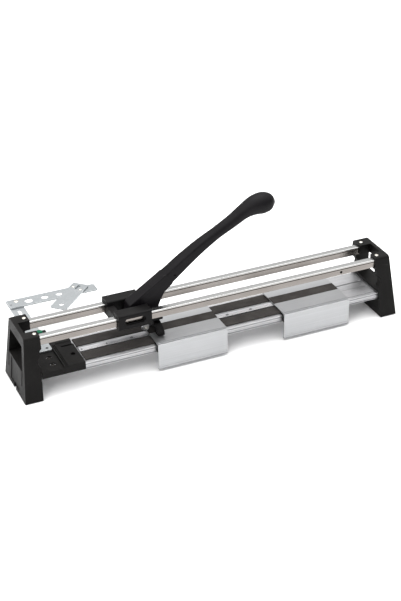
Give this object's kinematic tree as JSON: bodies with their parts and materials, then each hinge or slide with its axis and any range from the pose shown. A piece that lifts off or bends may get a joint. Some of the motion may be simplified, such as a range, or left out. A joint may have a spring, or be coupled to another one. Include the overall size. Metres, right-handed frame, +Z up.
{
  "type": "manual tile cutter",
  "caption": "Manual tile cutter: padded aluminium base and slide rails between moulded end blocks, lever carriage with wheel and breaker foot, swivelling fence and pull-out wings.",
  "frame": {"origin": "middle of the whole object's footprint box, on the surface it stands on", "axes": "+X runs along the slide rails to the user's right, +Y points away from the user, +Z is up"},
  "size_m": [0.7798, 0.2936, 0.3008],
  "materials": {
    "block_plastic": "satin moulded, black",
    "carriage_plastic": "satin moulded, black",
    "bush_plastic": "plain slide bush",
    "green_plastic": "moulded, green",
    "rubber": "matt",
    "pad_rubber": "matt sheet",
    "aluminium": "satin anodised extrusion",
    "rail_steel": "brushed sides, bright crown",
    "galvanised_steel": "zinc plated sheet",
    "zinc_screw": "bright zinc",
    "carbide": "ground carbide"
  },
  "bodies": {
    "stand": {"left_end_block": "block_plastic", "right_end_block": "block_plastic", "rail_screw_left_front": "zinc_screw", "rail_screw_left_rear": "zinc_screw", "rail_screw_right_front": "zinc_screw", "rail_screw_right_rear": "zinc_screw", "base_screw_left_front": "zinc_screw", "base_screw_left_rear": "zinc_screw", "base_screw_right_front": "zinc_screw", "base_screw_right_rear": "zinc_screw", "foot_left_front": "rubber", "foot_left_rear": "rubber", "foot_right_front": "rubber", "foot_right_rear": "rubber", "front_rail": "rail_steel", "rear_rail": "rail_steel", "base_extrusion": "aluminium", "front_pad": "pad_rubber", "rear_pad": "pad_rubber", "breaking_ridge": "aluminium", "fence_guide_plate": "block_plastic", "plate_screw_channel_front": "zinc_screw", "plate_screw_channel_rear": "zinc_screw", "plate_screw_platform": "zinc_screw"},
    "carriage": {"carriage_body": "carriage_plastic", "slide_bush_front_left": "bush_plastic", "slide_bush_front_right": "bush_plastic", "slide_bush_rear_left": "bush_plastic", "slide_bush_rear_right": "bush_plastic", "lever_pivot_pin": "zinc_screw"},
    "lever": {"lever": "carriage_plastic", "wheel_holder": "galvanised_steel", "wheel_holder_bolt": "zinc_screw", "wheel_axle": "zinc_screw", "breaker_pin": "zinc_screw"},
    "wheel": {"cutting_wheel": "carbide"},
    "breaker": {"breaker_foot": "carriage_plastic"},
    "fence_slide": {"fence_carrier": "galvanised_steel", "fence_pivot_pin": "zinc_screw"},
    "fence_swivel": {"fence_arm": "galvanised_steel", "fence_corner_plate": "galvanised_steel", "corner_rivet_outer": "zinc_screw", "corner_rivet_inner": "zinc_screw"},
    "clamp": {"fence_clamp_knob": "green_plastic", "fence_clamp_screw": "zinc_screw"},
    "left_shoe": {"left_wing_shoe": "block_plastic"},
    "left_wing": {"left_wing": "aluminium", "left_wing_strip": "pad_rubber"},
    "right_shoe": {"right_wing_shoe": "block_plastic"},
    "right_wing": {"right_wing": "aluminium", "right_wing_strip": "pad_rubber"}
  },
  "joints": [
    {"name": "carriage_travel", "type": "slide", "parent": "stand", "child": "carriage", "axis": [1, 0, 0], "range_m": [-0.14, 0.44]},
    {"name": "lever_tilt", "type": "hinge", "parent": "carriage", "child": "lever", "pos_m": [-0.158, -0.08796, 0.112], "axis": [0, -1, 0], "range_deg": [0, 28]},
    {"name": "wheel_spin", "type": "hinge", "parent": "lever", "child": "wheel", "pos_m": [-0.128, -0.08796, 0.0697], "axis": [0, 1, 0], "continuous": true},
    {"name": "breaker_rock", "type": "hinge", "parent": "lever", "child": "breaker", "pos_m": [-0.108, -0.08796, 0.1016], "axis": [0, 1, 0], "range_deg": [-8, 8]},
    {"name": "fence_travel", "type": "slide", "parent": "stand", "child": "fence_slide", "axis": [0, 1, 0], "range_m": [-0.02, 0.04]},
    {"name": "fence_angle", "type": "hinge", "parent": "fence_slide", "child": "fence_swivel", "pos_m": [-0.318, 0.12804, 0.058], "axis": [0, 0, 1], "range_deg": [-45, 45]},
    {"name": "clamp_turn", "type": "hinge", "parent": "stand", "child": "clamp", "pos_m": [-0.3165, -0.01796, 0.065], "axis": [0, 0, 1], "range_deg": [-90, 90]},
    {"name": "left_shoe_travel", "type": "slide", "parent": "stand", "child": "left_shoe", "axis": [1, 0, 0], "range_m": [-0.13, 0.055]},
    {"name": "left_wing_pull", "type": "slide", "parent": "left_shoe", "child": "left_wing", "axis": [0, -1, 0], "range_m": [0, 0.08]},
    {"name": "right_shoe_travel", "type": "slide", "parent": "stand", "child": "right_shoe", "axis": [1, 0, 0], "range_m": [-0.055, 0.065]},
    {"name": "right_wing_pull", "type": "slide", "parent": "right_shoe", "child": "right_wing", "axis": [0, -1, 0], "range_m": [0, 0.08]}
  ]
}
